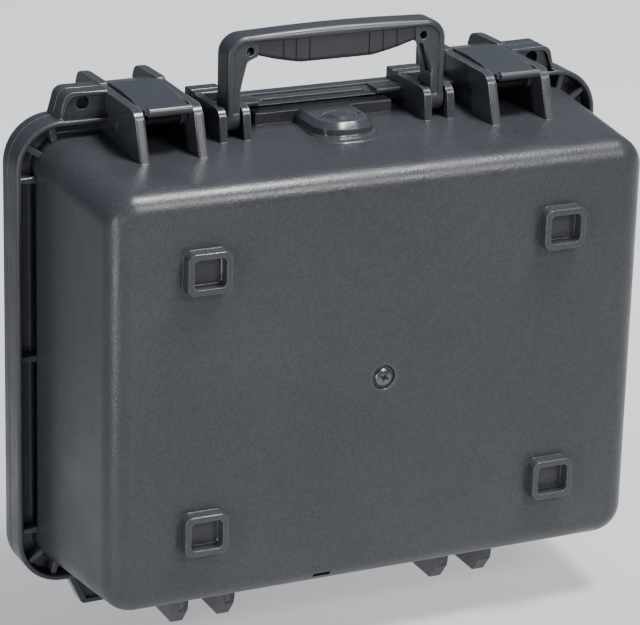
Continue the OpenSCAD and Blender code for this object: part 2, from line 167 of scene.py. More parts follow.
def moulded_plastic(name, colour, grain, grain_depth, roughness, round_edge=0.0007, gloss=0.5, wear_and_highlight=1.0):
    """Dark moulded plastic: leather grain, cloudy tone, paler edges and rounded junctions.
    The pale edges are partly wear and partly painted highlight: they lie where a wide rounding would turn
    the surface and the shape bulges outward."""
    n = Nodes(name)
    rounded = n.add("ShaderNodeBevel", {"Radius": round_edge}, samples=6).outputs["Normal"]
    cells = n.voronoi(grain, "SMOOTH_F1")
    fine = n.noise(grain * 1.7, 2.0, 0.6)
    height = n.math("ADD", n.math("MULTIPLY", cells, 0.7), n.math("MULTIPLY", fine, 0.6))
    normal = n.bump(height, grain_depth, 1.0, rounded)
    cloudy = n.ramp(n.noise(9.0, 4.0), ((0.3, 0.88), (0.7, 1.1)))
    speck = n.ramp(n.noise(grain * 0.9, 2.0), ((0.35, 0.84), (0.65, 1.14)))
    surface = n.add("ShaderNodeNewGeometry").outputs
    wide = n.add("ShaderNodeBevel", {"Radius": round_edge * 1.8}, samples=4).outputs["Normal"]
    bend = n.math("SUBTRACT", 1.0, n.dot(wide, surface["True Normal"]))
    edges = n.ramp(bend, ((0.03, 0.0), (0.14, 1.0)))
    outward = n.ramp(surface["Pointiness"], ((0.49, 0.0), (0.515, 1.0)))
    patchy = n.ramp(n.noise(300.0), ((0.3, 0.35 * wear_and_highlight), (0.6, 0.85 * wear_and_highlight)))
    edges = n.math("MULTIPLY", n.math("MULTIPLY", edges, outward), patchy)
    tone = n.mix(1.0, colour, cloudy, "MULTIPLY")
    tone = n.mix(1.0, tone, speck, "MULTIPLY")
    # Pale convex edges: painted highlight along the rounded edges, partly edge wear.
    pale_edge_wear_and_highlight = tuple(c * 2.2 + 0.11 for c in colour)
    tone = n.mix(edges, tone, pale_edge_wear_and_highlight)
    shine = n.ramp(n.noise(35.0, 4.0), ((0.35, roughness - 0.05), (0.65, roughness + 0.06)))
    shine = n.math("SUBTRACT", shine, n.math("MULTIPLY", edges, 0.1))
    return n.set(Base_Color=tone, Roughness=shine, Normal=normal, IOR=1.48, Specular_IOR_Level=gloss)


def foam_material(name, colour):
    """Open-cell foam: pitted, very rough, slightly uneven in tone, and darker at the bottom of each pit as
    painted shade.
    """
    n = Nodes(name)
    pits = n.ramp(n.voronoi(900.0), ((0.0, 0.0), (0.55, 1.0)))
    lumps = n.noise(240.0, 3.0)
    normal = n.bump(pits, 0.0005, 0.9, n.bump(lumps, 0.0008, 0.6))
    # Darker at the bottom of each pit: painted shade.
    tone = n.mix(1.0, colour, n.ramp(pits, ((0.0, 0.55), (1.0, 1.15))), "MULTIPLY")
    tone = n.mix(1.0, tone, n.ramp(n.noise(14.0), ((0.3, 0.85), (0.7, 1.1))), "MULTIPLY")
    return n.set(Base_Color=tone, Roughness=0.95, Normal=normal, Sheen_Weight=0.12)


def metal(name, colour, roughness):
    """Steel with fine turning marks and slightly uneven gloss."""
    n = Nodes(name)
    marks = n.noise(1600.0, 2.0)
    shine = n.ramp(n.noise(180.0), ((0.3, roughness * 0.8), (0.7, roughness * 1.3)))
    tone = n.mix(1.0, colour, n.ramp(n.noise(90.0), ((0.3, 0.8), (0.7, 1.05))), "MULTIPLY")
    return n.set(Base_Color=tone, Metallic=1.0, Roughness=shine, Normal=n.bump(marks, 0.00003, 0.6))


def rubber_material(name, colour, roughness=0.6):
    """Solid rubber with a fine matt skin."""
    n = Nodes(name)
    skin = n.noise(1100.0, 3.0)
    tone = n.mix(1.0, colour, n.ramp(n.noise(40.0), ((0.3, 0.8), (0.7, 1.15))), "MULTIPLY")
    return n.set(Base_Color=tone, Roughness=roughness, Normal=n.bump(skin, 0.00005, 0.8))


def film_material(name):
    """White porous membrane."""
    n = Nodes(name)
    weave = n.voronoi(2200.0)
    return n.set(Base_Color=(0.8, 0.8, 0.78), Roughness=0.85, Normal=n.bump(weave, 0.00004, 0.8))


SLATE = (0.040, 0.043, 0.0505)
SHELL = moulded_plastic("moulded_shell", SLATE, 640.0, 0.00014, 0.34, gloss=0.45)
RIBS = moulded_plastic("rib_plastic", SLATE, 900.0, 0.00003, 0.22, gloss=0.5)
# Near-black plastic for the latch links and for the walls of holes and slots: painted shade, where these
# sit in shadow.
SHADE_BLACK = moulded_plastic("shade_black_plastic", (0.010, 0.011, 0.013), 900.0, 0.00002, 0.4, 0.0005, 0.3, 0.0)
SMOOTH = moulded_plastic("latch_plastic", (0.038, 0.041, 0.049), 900.0, 0.00002, 0.32, 0.0005)
GRIP = moulded_plastic("grip_rubber", (0.034, 0.036, 0.042), 1000.0, 0.00003, 0.45, 0.0005, 0.5, 0.0)
VALVE = moulded_plastic("valve_plastic", (0.036, 0.039, 0.047), 900.0, 0.00002, 0.36, 0.0004)
FOAM = foam_material("charcoal_foam", (0.035, 0.035, 0.038))
STEEL = metal("steel", (0.55, 0.55, 0.56), 0.28)
DARK_STEEL = metal("dark_steel", (0.16, 0.16, 0.17), 0.30)
SEAL = rubber_material("seal_rubber", (0.015, 0.015, 0.016))
FILM = film_material("membrane_film")


# Mesh tools ------------------------------------------------------------------------------------
ARC_STEPS = 12
SHARP_DEG = 32.0  # an edge that turns more than this stays sharp in the shading
SLIVER = 0.000002  # m


def to_object(name, bm, material, sharp_deg=SHARP_DEG):
    """Makes an object from a bmesh whose points are in case coordinates."""
    for vertex in bm.verts:
        vertex.co = at(*vertex.co)
    bmesh.ops.recalc_face_normals(bm, faces=bm.faces)
    mesh = bpy.data.meshes.new(name)
    bm.to_mesh(mesh)
    bm.free()
    obj = bpy.data.objects.new(name, mesh)
    bpy.context.collection.objects.link(obj)
    mesh.materials.append(material)
    smooth(obj, sharp_deg)
    return obj


def smooth(obj, sharp_deg=SHARP_DEG):
    """Shades an object smooth, with sharp edges and large faces kept even."""
    mesh = obj.data
    for polygon in mesh.polygons:
        polygon.use_smooth = True
    mesh.set_sharp_from_angle(angle=math.radians(sharp_deg))
    if not any(m.type == "WEIGHTED_NORMAL" for m in obj.modifiers):
        modifier = obj.modifiers.new("even_shading", "WEIGHTED_NORMAL")
        modifier.keep_sharp = True
        modifier.weight = 80


def apply_modifiers(obj):
    """Makes the modifiers' result the object's own mesh."""
    graph = bpy.context.evaluated_depsgraph_get()
    mesh = bpy.data.meshes.new_from_object(obj.evaluated_get(graph))
    old = obj.data
    obj.modifiers.clear()
    obj.data = mesh
    bpy.data.meshes.remove(old)


def drop_slivers(mesh):
    """Removes the faces and edges of no size that a cut can leave."""
    bm = bmesh.new()
    bm.from_mesh(mesh)
    bmesh.ops.dissolve_degenerate(bm, dist=SLIVER, edges=bm.edges)
    bm.to_mesh(mesh)
    bm.free()


def combine(target, others, operation="UNION"):
    """Joins or cuts closed objects, and removes the tools."""
    for index, other in enumerate(others):
        other.modifiers.clear()
        modifier = target.modifiers.new(f"join_{index}", "BOOLEAN")
        modifier.operation = operation
        modifier.solver = "MANIFOLD"
        modifier.material_mode = "TRANSFER"
        modifier.object = other
    target.modifiers.remove(target.modifiers["even_shading"])
    apply_modifiers(target)
    for other in others:
        mesh = other.data
        bpy.data.objects.remove(other)
        bpy.data.meshes.remove(mesh)
    if operation == "DIFFERENCE":
        drop_slivers(target.data)
    smooth(target)
    return target


def loft(rings):
    """A closed bmesh through rings of points, with a flat cap at each end."""
    bm = bmesh.new()
    rows = [[bm.verts.new(p) for p in ring] for ring in rings]
    count = len(rows[0])
    for a, b in zip(rows, rows[1:]):
        for i in range(count):
            j = (i + 1) % count
            bm.faces.new((a[i], a[j], b[j], b[i]))
    bm.faces.new(rows[0])
    bm.faces.new(list(reversed(rows[-1])))
    return bm


def round_rect(hw, hh, r, steps=ARC_STEPS):
    """Points of a rounded rectangle from its half sizes and corner radius."""
    points = []
    for sx, sz, start in ((1, 1, 0), (-1, 1, 90), (-1, -1, 180), (1, -1, 270)):
        for i in range(steps + 1):
            a = math.radians(start + 90 * i / steps)
            points.append((sx * (hw - r) + r * math.cos(a), sz * (hh - r) + r * math.sin(a)))
    return points


def arc(cx, cy, r, start, end, steps=6):
    """Points along an arc, with the angles in degrees."""
    angles = [math.radians(start + (end - start) * i / steps) for i in range(steps + 1)]
    return [(cx + r * math.cos(a), cy + r * math.sin(a)) for a in angles]


def rounded(corners, steps=7):
    """An outline from corners (a, b, radius), with each corner rounded."""
    points = []
    count = len(corners)
    for i, (px, py, r) in enumerate(corners):
        p = Vector((px, py))
        if r <= 0:
            points.append(p)
            continue
        before = (Vector(corners[i - 1][:2]) - p).normalized()
        after = (Vector(corners[(i + 1) % count][:2]) - p).normalized()
        half = before.angle(after) / 2
        centre = p + (before + after).normalized() * (r / math.sin(half))
        a = p + before * (r / math.tan(half)) - centre
        b = p + after * (r / math.tan(half)) - centre
        turn = a.angle_signed(b)
        for k in range(steps + 1):
            points.append(centre + Matrix.Rotation(-turn * k / steps, 2) @ a)
    return [(p.x, p.y) for p in points]


def prism(outline, low, high, axis, bevel=0.0, segments=3):
    """A flat piece from an outline, extruded along one axis, with rounded rims on both faces.
    The outline is (d, h) for axis x, (x, h) for axis d and (x, d) for axis h."""
    place = {"x": lambda a, b, t: (t, a, b),
             "d": lambda a, b, t: (a, t, b),
             "h": lambda a, b, t: (a, b, t)}[axis]
    bm = bmesh.new()
    lower = [bm.verts.new(place(a, b, low)) for a, b in outline]
    upper = [bm.verts.new(place(a, b, high)) for a, b in outline]
    caps = [bm.faces.new(lower), bm.faces.new(list(reversed(upper)))]
    count = len(outline)
    for i in range(count):
        j = (i + 1) % count
        bm.faces.new((lower[i], lower[j], upper[j], upper[i]))
    if bevel > 0:
        edges = {edge for cap in caps for edge in cap.edges}
        bmesh.ops.bevel(bm, geom=list(edges), offset=bevel, segments=segments, profile=0.5, affect="EDGES",
                        clamp_overlap=True)
    return bm


def block(x0, x1, d0, d1, h0, h1, bevel=0.6, segments=3):
    """A box with every edge rounded."""
    bm = prism([(x0, h0), (x1, h0), (x1, h1), (x0, h1)], d0, d1, "d")
    bmesh.ops.bevel(bm, geom=list(bm.edges), offset=bevel, segments=segments, profile=0.5, affect="EDGES",
                    clamp_overlap=True)
    return bm


def moved(bm, offset, turn=None):
    """The same mesh, turned about the origin and then moved."""
    for vertex in bm.verts:
        vertex.co = (turn @ vertex.co if turn else vertex.co) + Vector(offset)
    return bm


def turned(profile, place, axis, steps=48):
    """A solid of revolution: profile is (radius, distance along the axis from the place)."""
    cx, cd, ch = place
    rings = []
    for r, t in profile:
        ring = []
        for i in range(steps):
            a = math.tau * i / steps
            u, v = r * math.cos(a), r * math.sin(a)
            ring.append({"x": (cx + t, cd + u, ch + v), "d": (cx + u, cd + t, ch + v),
                         "h": (cx + u, cd + v, ch + t)}[axis])
        rings.append(ring)
    return loft(rings)


# Base and lid shells ---------------------------------------------------------------------------
# Widths and heights are half sizes, from the centre to the edge, and R is a corner radius.
BASE_W, BASE_H, WALL_R, EDGE_R = 183.0, 136.0, 20.0, 15.0
RIM_W, RIM_H, RIM_R = 203.0, 154.0, 30.0
WALL = 3.5
PARTING = 121.0
GAP = 0.25
BASE_RIM, LID_RIM, LID_RIM_BACK = PARTING - GAP, PARTING + GAP, PARTING + 10
SKIRT_D, SKIRT_T, SKIRT_LIP, FLANGE_T = 105.0, 3.5, 1.5, 4.0
SPREAD = 6.78  # how much wider the base's wall is at the rim than at its bottom face
LID_FACE, LID_EDGE_R, LID_TAPER = 164.0, 12.0, 0.056
SEAL_MID, TONGUE_T, TONGUE_H, GROOVE_T, GROOVE_D = 195.9, 2.4, 2.6, 4.8, 6.0
QUARTER = (0.0, 0.4, 0.8, 1.2, 1.571)  # angles of the rounds on the skirt's lip


def wall_ring(offset, d):
    """A ring around the sloping wall of the base."""
    grow = SPREAD * max(0.0, d - EDGE_R) / (PARTING - EDGE_R) + offset
    return [(x, d, h) for x, h in round_rect(BASE_W + grow, BASE_H + grow, WALL_R + offset)]


def rim_ring(inset, d):
    """A ring around the rim, set in from its outline."""
    return [(x, d, h) for x, h in round_rect(RIM_W - inset, RIM_H - inset, RIM_R - inset)]


def face_ring(w, h, r, d):
    """A rounded rectangle at one depth, from its half sizes and corner radius."""
    return [(x, d, z) for x, z in round_rect(w, h, r)]


def edge_rings(w, h, wall_r, edge_r, d_face, into, outward=True, steps=10):
    """Rings over a rounded edge between a flat face and a wall: into is +1 or -1 along d."""
    rings = []
    for i in range(steps + 1):
        a = math.radians(90 * i / steps)
        s = edge_r * math.sin(a) - edge_r
        rings.append(face_ring(w + s, h + s, wall_r + s, d_face + into * edge_r * (1 - math.cos(a))))
    return rings if outward else rings[::-1]


def base_shell_body():
    """The base from its bottom face, out over the wall, skirt and tongue, and back down inside."""
    top = BASE_RIM
    flange = top - FLANGE_T
    lip = SKIRT_D + SKIRT_LIP
    tongue_out = RIM_W - SEAL_MID - TONGUE_T / 2
    tongue_in = tongue_out + TONGUE_T
    rings = edge_rings(BASE_W, BASE_H, WALL_R, EDGE_R, 0.0, 1)
    rings += [wall_ring(0, d) for d in (40, 70, 100, flange - 2)]
    rings += [wall_ring(0.3, flange - 0.9), wall_ring(0.9, flange - 0.3), wall_ring(2, flange)]
    rings += [rim_ring(SKIRT_T + 2, flange), rim_ring(SKIRT_T + 0.6, flange - 0.6)]
    rings += [rim_ring(SKIRT_T, flange - 2), rim_ring(SKIRT_T, lip)]
    rings += [rim_ring(SKIRT_T - SKIRT_LIP + SKIRT_LIP * math.cos(a), lip - SKIRT_LIP * math.sin(a))
              for a in QUARTER[1:]]
    rings += [rim_ring(SKIRT_LIP - SKIRT_LIP * math.sin(a), lip - SKIRT_LIP * math.cos(a)) for a in QUARTER]
    rings += [rim_ring(0, top - 0.8), rim_ring(0.23, top - 0.23), rim_ring(0.8, top)]
    rings += [rim_ring(tongue_out, top), rim_ring(tongue_out, top + TONGUE_H - 0.4),
              rim_ring(tongue_out + 0.4, top + TONGUE_H), rim_ring(tongue_in - 0.4, top + TONGUE_H),
              rim_ring(tongue_in, top + TONGUE_H - 0.4), rim_ring(tongue_in, top)]
    rings += [wall_ring(0.5 - WALL, top), wall_ring(-WALL, top - 0.5), wall_ring(-WALL, 70)]
    rings += edge_rings(BASE_W - WALL, BASE_H - WALL, WALL_R - WALL, EDGE_R - WALL, WALL, 1, False)
    return to_object("base_shell_skin", loft(rings), SHELL)


def lid_wall_ring(offset, d):
    """A ring around the lid's wall, which narrows towards its face."""
    grow = SPREAD - LID_TAPER * (d - PARTING) + offset
    return [(x, d, h) for x, h in round_rect(BASE_W + grow, BASE_H + grow, WALL_R + offset)]


def lid_shell_body():
    """The lid from its framed face panel, out over the wall and rim, and back inside by the groove."""
    low, back = LID_RIM, LID_RIM_BACK
    lid_w = BASE_W + SPREAD - LID_TAPER * (LID_FACE - PARTING)
    lid_h = BASE_H + SPREAD - LID_TAPER * (LID_FACE - PARTING)
    inner_w, inner_h, inner_edge = lid_w - WALL, lid_h - WALL, LID_EDGE_R - WALL
    groove_out = RIM_W - SEAL_MID - GROOVE_T / 2
    groove_in = groove_out + GROOVE_T
    rings = [face_ring(89.4, 59.4, 6, LID_FACE), face_ring(90, 60, 6.5, LID_FACE - 0.5),
             face_ring(90.4, 60.4, 7, LID_FACE - 1.2), face_ring(95.6, 65.6, 10, LID_FACE - 1.2),
             face_ring(96, 66, 10.4, LID_FACE - 0.5), face_ring(96.6, 66.6, 11, LID_FACE)]
    rings += edge_rings(lid_w, lid_h, WALL_R, LID_EDGE_R, LID_FACE, -1)
    rings += [lid_wall_ring(0, 145), lid_wall_ring(0, back + 2), lid_wall_ring(0.3, back + 0.9),
              lid_wall_ring(0.9, back + 0.3), lid_wall_ring(2, back)]
    rings += [rim_ring(1.5, back), rim_ring(0.44, back - 0.44), rim_ring(0, back - 1.5)]
    rings += [rim_ring(0, low + 0.8), rim_ring(0.23, low + 0.23), rim_ring(0.8, low)]
    rings += [rim_ring(groove_out, low), rim_ring(groove_out, low + GROOVE_D),
              rim_ring(groove_in, low + GROOVE_D), rim_ring(groove_in, low)]
    rings += [lid_wall_ring(0.5 - WALL, low), lid_wall_ring(-WALL, low + 0.5), lid_wall_ring(-WALL, 140)]
    rings += edge_rings(inner_w, inner_h, WALL_R - WALL, inner_edge, LID_FACE - WALL, -1, False)
    return to_object("lid_shell_skin", loft(rings), SHELL)


# Guards, ribs, tabs and lugs -------------------------------------------------------------------
GUARD_X = (101.0, 139.5)
GUARD_T = 6.0
GUARD_TOP = 169.8
HANDLE_RIB_X = (62.7, 78.8)
HANDLE_RIB_T = 5.0
RIB_PAD_X = (60.0, 81.5)
NUB_X = (77.4, 109.8)
NUB_T = 7.4
HINGE = centre("hinge_pins")[1:]
LATCH_BORE_R, HINGE_BORE_R, HANDLE_BORE_R = 2.3, 2.1, 2.56
STAND = -CENTRE_Z  # height of the floor in case coordinates
TAB_HOLE = (157.0, 162.5)
TAB_FRONT, TAB_FACE = 109.5, 112.0
CHANNEL_RIB_T = 4.2
FOOT_X, FOOT_Z = 121, 85
LEDGE_HALF, LEDGE_DIP_HALF, LEDGE_SLOT_HALF = 47.8, 41.5, 36


def both(make, xs):
    """One mesh for each x, on the right side and on the left."""
    return [make(side * x) for side in (1, -1) for x in xs]


def span(side, near, far):
    """The lower and upper x of something between two distances from the middle."""
    return sorted((side * near, side * far))


def as_tools(meshes, material=None):
    """Objects for combine, which bring their own material to the faces that they leave."""
    return [to_object("tool", bm, material or SHELL) for bm in meshes]


def guard_plate(x):
    corners = [(49.5, 133, 0), (63.4, 168.6, 9), (BASE_RIM, GUARD_TOP, 0), (BASE_RIM, 133, 0)]
    return prism(rounded(corners, 9), x - GUARD_T / 2, x + GUARD_T / 2, "x", 1.3, 4)


def lid_guard_plate(x):
    corners = [(LID_RIM, 134, 0), (LID_RIM, 170.9, 1.2), (150, 170.4, 0), (162.6, 169.0, 7.5),
               (163.2, 141, 0), (158, 134, 0)]
    return prism(rounded(corners, 8), x - GUARD_T / 2, x + GUARD_T / 2, "x", 1.3, 4)


def handle_rib_plate(x):
    corners = [(71.3, 133, 0), (75.9, 160, 7), (BASE_RIM, 160.6, 0), (BASE_RIM, 133, 0)]
    return prism(rounded(corners, 8), x - HANDLE_RIB_T / 2, x + HANDLE_RIB_T / 2, "x", 1.2, 4)


def nub_plate(x):
    """A hinge nub, which reaches down to the floor and rounds the hinge pin."""
    d, h = HINGE
    outline = rounded([(50, -133, 0), (57.2, -166, 10), (66.8, STAND, 4), (d, STAND, 0)], 7)
    outline += arc(d, h, 10, -90, 90, 14)[1:]
    outline += [(BASE_RIM, -150), (BASE_RIM, -133)]
    return prism(outline, x - NUB_T / 2, x + NUB_T / 2, "x", 2.6, 5)


def tab_outline(side, inset=0.0, low=150.0):
    """The padlock tab, set in for the recess in its front."""
    points = [(141, low, 0), (174.2 - inset, low, 0), (174 - inset, 153, 0),
              (168.7 - inset, 170 - inset, 6.5 - inset / 2), (141, 170 - inset, 0)]
    return [(side * x, h) for x, h in rounded(points, 8)]


def hinge_tab_outline(side):
    """The tab at each lower corner, beside the hinge."""
    points = [(108, -150, 0), (168, -150, 0), (168, -154.5, 0), (158.5, -175, 2), (108, -175, 0)]
    return [(side * x, h) for x, h in rounded(points, 5)]


def hole_cutter(side):
    """The padlock hole, which opens out a little at its front."""
    x, h = TAB_HOLE
    rings = [(4.4, TAB_FACE - 12), (4.4, TAB_FACE), (4.0, TAB_FACE + 0.5), (4.0, PARTING + 14)]
    return turned(rings, (side * x, 0, h), "d", 40)


def channel_rib(x, h, angle, length):
    """A rounded rib across the channel behind the skirt, reaching out from (x, h)."""
    bm = block(0, length, SKIRT_D + 3, PARTING - 1.5, -CHANNEL_RIB_T / 2, CHANNEL_RIB_T / 2, 0.9, 3)
    return moved(bm, (x, 0, h), Matrix.Rotation(math.radians(-angle), 4, "Y"))


def channel_ribs():
    """Ribs along the sides, in a fan at each corner, and along the lower edge."""
    ribs = []
    for side in (1, -1):
        for h in (-117, 0, 117):
            ribs.append(channel_rib(side * 187.5, h, 0 if side > 0 else 180, 14))
        for up in (1, -1):
            for angle in (34, 78):
                x = side * (RIM_W - RIM_R + 4 * math.cos(math.radians(angle)))
                h = up * (RIM_H - RIM_R + 4 * math.sin(math.radians(angle)))
                ribs.append(channel_rib(x, h, up * (angle if side > 0 else 180 - angle), 24.0))
        for x in (20, 60):
            ribs.append(channel_rib(side * x, -138, -90, 14.5))
    return ribs


def foot_ring(x, h):
    """A square foot with a square hollow: out over its rim and back down inside."""
    w, l, t, r = 14.5, 13.25, 4.0, 5.0
    steps = ((0.8, r + 0.8, 0.5), (0.35, r + 0.3, -1.2), (0.1, r, -FOOT_H + 1.0),
             (-0.25, r - 0.2, -FOOT_H + 0.3), (-0.95, r - 0.8, -FOOT_H),
             (-t + 0.7, r - 1.2, -FOOT_H), (-t + 0.15, r - 1.6, -FOOT_H + 0.25),
             (-t, r - 1.7, -FOOT_H + 0.9), (-t - 0.3, r - 2, -0.7), (-t - 1.0, r - 2.6, 0.0))
    return moved(loft([face_ring(w + grow, l + grow, radius, d) for grow, radius, d in steps]), (x, 0, h))


VENT_W, VENT_D, VENT_TOP, VENT_AT = 20.6, 54.8, 149.3, centre("valve_knob")[1]


def vent_ring(inset, h, front=None):
    """A ring of the vent housing: set in all round, or by another amount at its front."""
    r = 17.0 - inset * 0.8
    w, d0, d1 = VENT_W - inset, VENT_D + (inset if front is None else front), 101.0
    points = rounded([(-w, d0, r), (w, d0, r), (w, d1, 0), (-w, d1, 0)], 14)
    return [(x, d, h) for x, d in points]


def vent_housing():
    """The valve's housing: a flared foot on the wall, an upright band and a sloping shoulder."""
    rings = [vent_ring(-2.0, 134, -5.6), vent_ring(-2.0, 138.5, -5.6), vent_ring(-1.7, 139.4, -4.6),
             vent_ring(-1.2, 140.0, -2.6), vent_ring(-1.1, 140.9, -2.0), vent_ring(-0.7, 141.2, -1.3),
             vent_ring(-0.1, 141.3, -0.3), vent_ring(0, 141.6), vent_ring(0, 145.0), vent_ring(0.2, 145.6),
             vent_ring(3.3, 148.7), vent_ring(4.0, VENT_TOP), vent_ring(8, VENT_TOP)]
    return loft(rings)


def base_parts():
    """What is joined to the base's tub."""
    parts = both(guard_plate, GUARD_X) + both(handle_rib_plate, HANDLE_RIB_X) + both(nub_plate, NUB_X)
    for side in (1, -1):
        parts.append(prism(tab_outline(side), TAB_FRONT, BASE_RIM, "d", 0.9, 3))
        parts.append(prism(hinge_tab_outline(side), TAB_FRONT, BASE_RIM, "d", 0.8, 3))
        parts.append(block(*span(side, *RIB_PAD_X), 113, BASE_RIM, 140, 161, 1.3, 3))
        for h in (FOOT_Z, -FOOT_Z):
            parts.append(foot_ring(side * FOOT_X, h))
    parts.append(block(-LEDGE_HALF, LEDGE_HALF, 96, 108, 133, 149, 0.9, 3))
    parts.append(vent_housing())
    screw_collar = [(9.9, 0.5), (9.8, -0.05), (9.3, -0.3), (8.2, -0.3), (7.9, 0.5)]
    parts.append(turned(screw_collar, (0, 0, 0), "d", 56))
    return parts + channel_ribs()


def edge_slot():
    """The small slot in the lower rounded edge of the bottom face, with its walls painted near-black as
    shade.
    """
    slot = block(-6, 6, -EDGE_R - 3, -EDGE_R + 2, -1.8, 1.8, 0.6)
    return moved(slot, (-38, EDGE_R, EDGE_R - BASE_H), Matrix.Rotation(math.radians(32), 4, "X"))


def base_cuts():
    """What is cut from the base: plain recesses, and the holes whose walls are painted near-black as shade.
    """
    cuts, shade_black_cuts = [], [hole_cutter(1), hole_cutter(-1)]
    for side in (1, -1):
        cuts.append(prism(tab_outline(side, 2.4, 151.5), TAB_FRONT - 4, TAB_FACE, "d"))
        recess = [(114, -156), (163, -156), (155.5, -172), (114, -172)]
        cuts.append(prism([(side * x, h) for x, h in recess], TAB_FRONT - 4, TAB_FACE, "d"))
        # Two small slots by the valve; their walls take the near-black material as painted shade.
        mark = side * 13.1
        shade_black_cuts.append(block(mark - 1.9, mark + 1.9, VENT_AT - 1.3, VENT_AT + 1.3, VENT_TOP - 4,
                               VENT_TOP + 3, 0.6))
        for x in GUARD_X:
            low = side * x - GUARD_T / 2 - 0.1
            cuts.append(turned([(LATCH_BORE_R, 0), (LATCH_BORE_R, 6.2)], (low, 90, 151.5), "x", 24))
    screw_recess = [(7.8, -3), (7.8, 1.2), (7.4, 1.6), (3.0, 1.6), (3.0, 6.0)]
    cuts.append(turned(screw_recess, (0, 0, 0), "d", 48))
    knob_ring = [(9.7, VENT_TOP - 3), (9.7, VENT_TOP - 0.4), (10.4, VENT_TOP + 0.3), (10.4, VENT_TOP + 4)]
    cuts.append(turned(knob_ring, (0, VENT_AT, 0), "h", 48))
    cuts.append(turned([(8.1, 120), (8.1, VENT_TOP)], (0, VENT_AT, 0), "h", 40))
    shade_black_cuts.append(edge_slot())
    ledge_top = [(103, 150.2), (PARTING, 152.4), (PARTING + 4, 152.8), (PARTING + 4, 158), (103, 158)]
    cuts.append(prism(ledge_top, -LEDGE_DIP_HALF, LEDGE_DIP_HALF, "x", 0.8, 3))
    cuts.append(block(-LEDGE_SLOT_HALF, LEDGE_SLOT_HALF, 111.5, 115.5, 149.8, 156, 0.7))
    return cuts, shade_black_cuts


def build_base():
    body = base_shell_body()
    combine(body, as_tools(base_parts(), RIBS))
    cuts, shade_black_cuts = base_cuts()
    # The holes and slots are cut with the near-black material, which paints shade on their walls.
    combine(body, as_tools(cuts) + as_tools(shade_black_cuts, SHADE_BLACK), "DIFFERENCE")
    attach(body, "base")
    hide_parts("base_shell")


def lid_pad(x, h):
    """A low square pad on the lid's face."""
    rings = [face_ring(8.6, 8.6, 3.4, LID_FACE - 0.5), face_ring(8, 8, 3, LID_FACE + 0.6),
             face_ring(7.9, 7.9, 3, LID_FACE + 4.6), face_ring(7.6, 7.6, 2.8, LID_FACE + 5.2),
             face_ring(6.9, 6.9, 2.2, LID_FACE + 5.5)]
    return moved(loft(rings), (x, 0, h))


def knuckle(side):
    """The lid's hinge knuckle, between the base's two nubs."""
    d, h = HINGE
    outline = [(d + 10, -150), (d + GAP, -150), (d + GAP, h + 8)]
    outline += arc(d, h, 8, 90, 360, 20) + [(d + 9.8, -153)]
    return prism(outline, *span(side, 81.8, 105.4), "x", 0.8, 3)


def build_lid():
    body = lid_shell_body()
    parts = both(lid_guard_plate, GUARD_X)
    for side in (1, -1):
        parts.append(prism(tab_outline(side), LID_RIM, LID_RIM_BACK, "d", 0.9, 3))
        parts.append(block(*span(side, *RIB_PAD_X), LID_RIM, LID_RIM_BACK, 140, 161, 1.3, 3))
        parts.append(block(*span(side, 99, 141), 124, 128.5, 150, 166, 0.8, 3))
        parts.append(knuckle(side))
        for h in (FOOT_Z, -FOOT_Z):
            parts.append(lid_pad(side * FOOT_X, h))
    combine(body, as_tools(parts, RIBS))
    bore = [(HINGE_BORE_R, 0), (HINGE_BORE_R, 26)]
    cuts = [turned(bore, (side * 93.6 - 13, *HINGE), "x", 24) for side in (1, -1)]
    # The padlock holes' walls take the near-black material: painted shade.
    combine(body, as_tools(cuts) + as_tools([hole_cutter(1), hole_cutter(-1)], SHADE_BLACK), "DIFFERENCE")
    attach(body, "lid")
    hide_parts("lid_shell")


# Handle ----------------------------------------------------------------------------------------
# Heights are above the handle's pin.
HANDLE_PIN = centre("handle_pins")[1:]
HANDLE_T = 9.0
HANDLE_X = 75.0
HANDLE_TOP = 54.4
LIP = 48.2
CORNER_R = 13.0
LEG_BAND = 4.4
BAND_EDGE_R, INNER_EDGE_R = 2.2, 1.1


def sweep(stations, thick, inner_r, steps=6):
    """A bar through (outer point, inner point, outer rounding) of the front outline."""
    d0, h0 = HANDLE_PIN
    turn = [math.radians(90 * i / steps) for i in range(steps + 1)]
    rings = []
    for (ox, oh), (ix, ih), outer_r in stations:
        width = math.hypot(ix - ox, ih - oh)
        ux, uh = (ix - ox) / width, (ih - oh) / width
        half = [(outer_r - outer_r * math.cos(a), thick - outer_r + outer_r * math.sin(a)) for a in turn]
        half += [(width - inner_r + inner_r * math.sin(a), thick - inner_r + inner_r * math.cos(a))
                 for a in turn]
        profile = [(u, -t) for u, t in half] + half[::-1]
        rings.append([(ox + ux * u, d0 + t, h0 + oh + uh * u) for u, t in profile])
    return loft(rings)


def crown(x):
    """Height of the handle's slightly arched top."""
    return HANDLE_TOP - 1.9 * (x / 62) ** 2


def outer_stations():
    """The handle's outer band: down one leg, across the crowned top and down the other leg."""
    right = [((HANDLE_X, h), (HANDLE_X - LEG_BAND, h), BAND_EDGE_R) for h in (0, 12, 24, 34)]
    cx, ch = HANDLE_X - CORNER_R, crown(HANDLE_X - CORNER_R) - CORNER_R
    for i in range(0, 10):
        a = math.radians(10 * i)
        share = (i / 9) ** 1.5
        reach = CORNER_R - LEG_BAND - (crown(cx) - LIP - LEG_BAND) * share
        outer = (cx + CORNER_R * math.cos(a), ch + CORNER_R * math.sin(a))
        inner = (cx + reach * math.cos(a), ch + reach * math.sin(a))
        right.append((outer, inner, BAND_EDGE_R + 0.9 * share))
    top = ((54, 3.9), (44, 4.3), (34, 4.6), (24, 4.8), (12, 4.9), (0, 4.9))
    right += [((x, crown(x)), (x, LIP), r) for x, r in top]
    left = [((-ox, oh), (-ix, ih), r) for (ox, oh), (ix, ih), r in right[-2::-1]]
    return right + left


